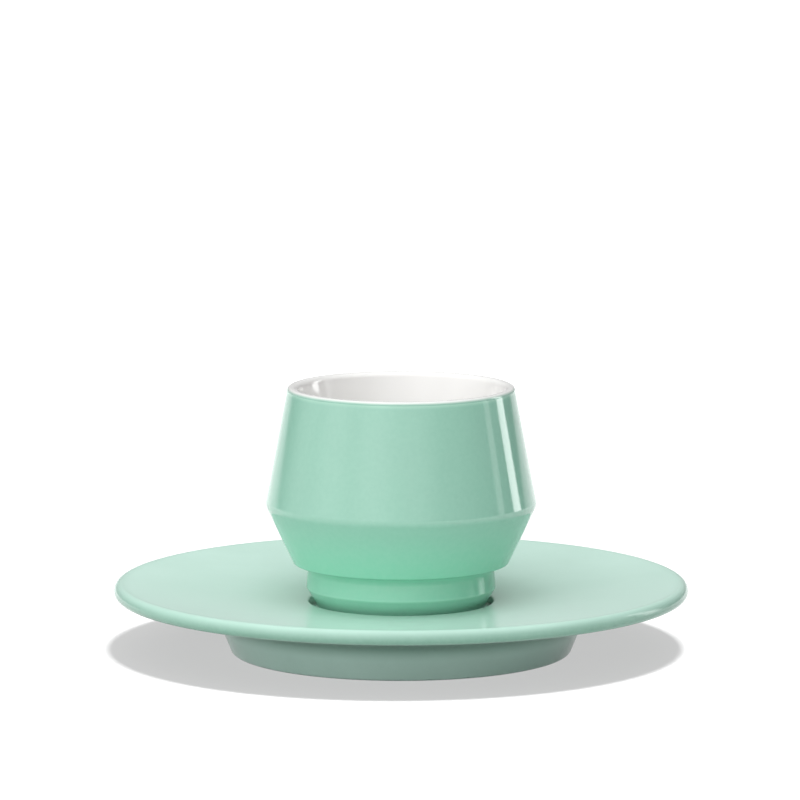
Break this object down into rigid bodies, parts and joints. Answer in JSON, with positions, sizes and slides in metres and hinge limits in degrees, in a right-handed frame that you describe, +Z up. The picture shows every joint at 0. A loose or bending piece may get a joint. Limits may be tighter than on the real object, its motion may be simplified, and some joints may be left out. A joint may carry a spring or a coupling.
{
  "type": "espresso cup and saucer",
  "caption": "Handleless espresso cup, its cones meeting at a soft crease, standing in the well of a wide dished saucer on a foot ring; mint glaze outside, white glaze inside.",
  "frame": {"origin": "on the table under the middle of the saucer's foot ring", "axes": "+Z up along the axis that both pieces are turned about; -Y towards the viewer of the picture"},
  "size_m": [0.13, 0.13, 0.0605],
  "materials": {
    "saucer_glaze": "gloss",
    "cup_glaze": "gloss",
    "lining_glaze": "gloss"
  },
  "bodies": {
    "saucer": {"saucer": "saucer_glaze"},
    "cup": {"cup_body": "cup_glaze", "cup_lining": "lining_glaze"}
  },
  "joints": [
    {"name": "cup_lift", "type": "slide", "parent": "saucer", "child": "cup", "axis": [0, 0, 1], "range_m": [0, 0.06]}
  ]
}
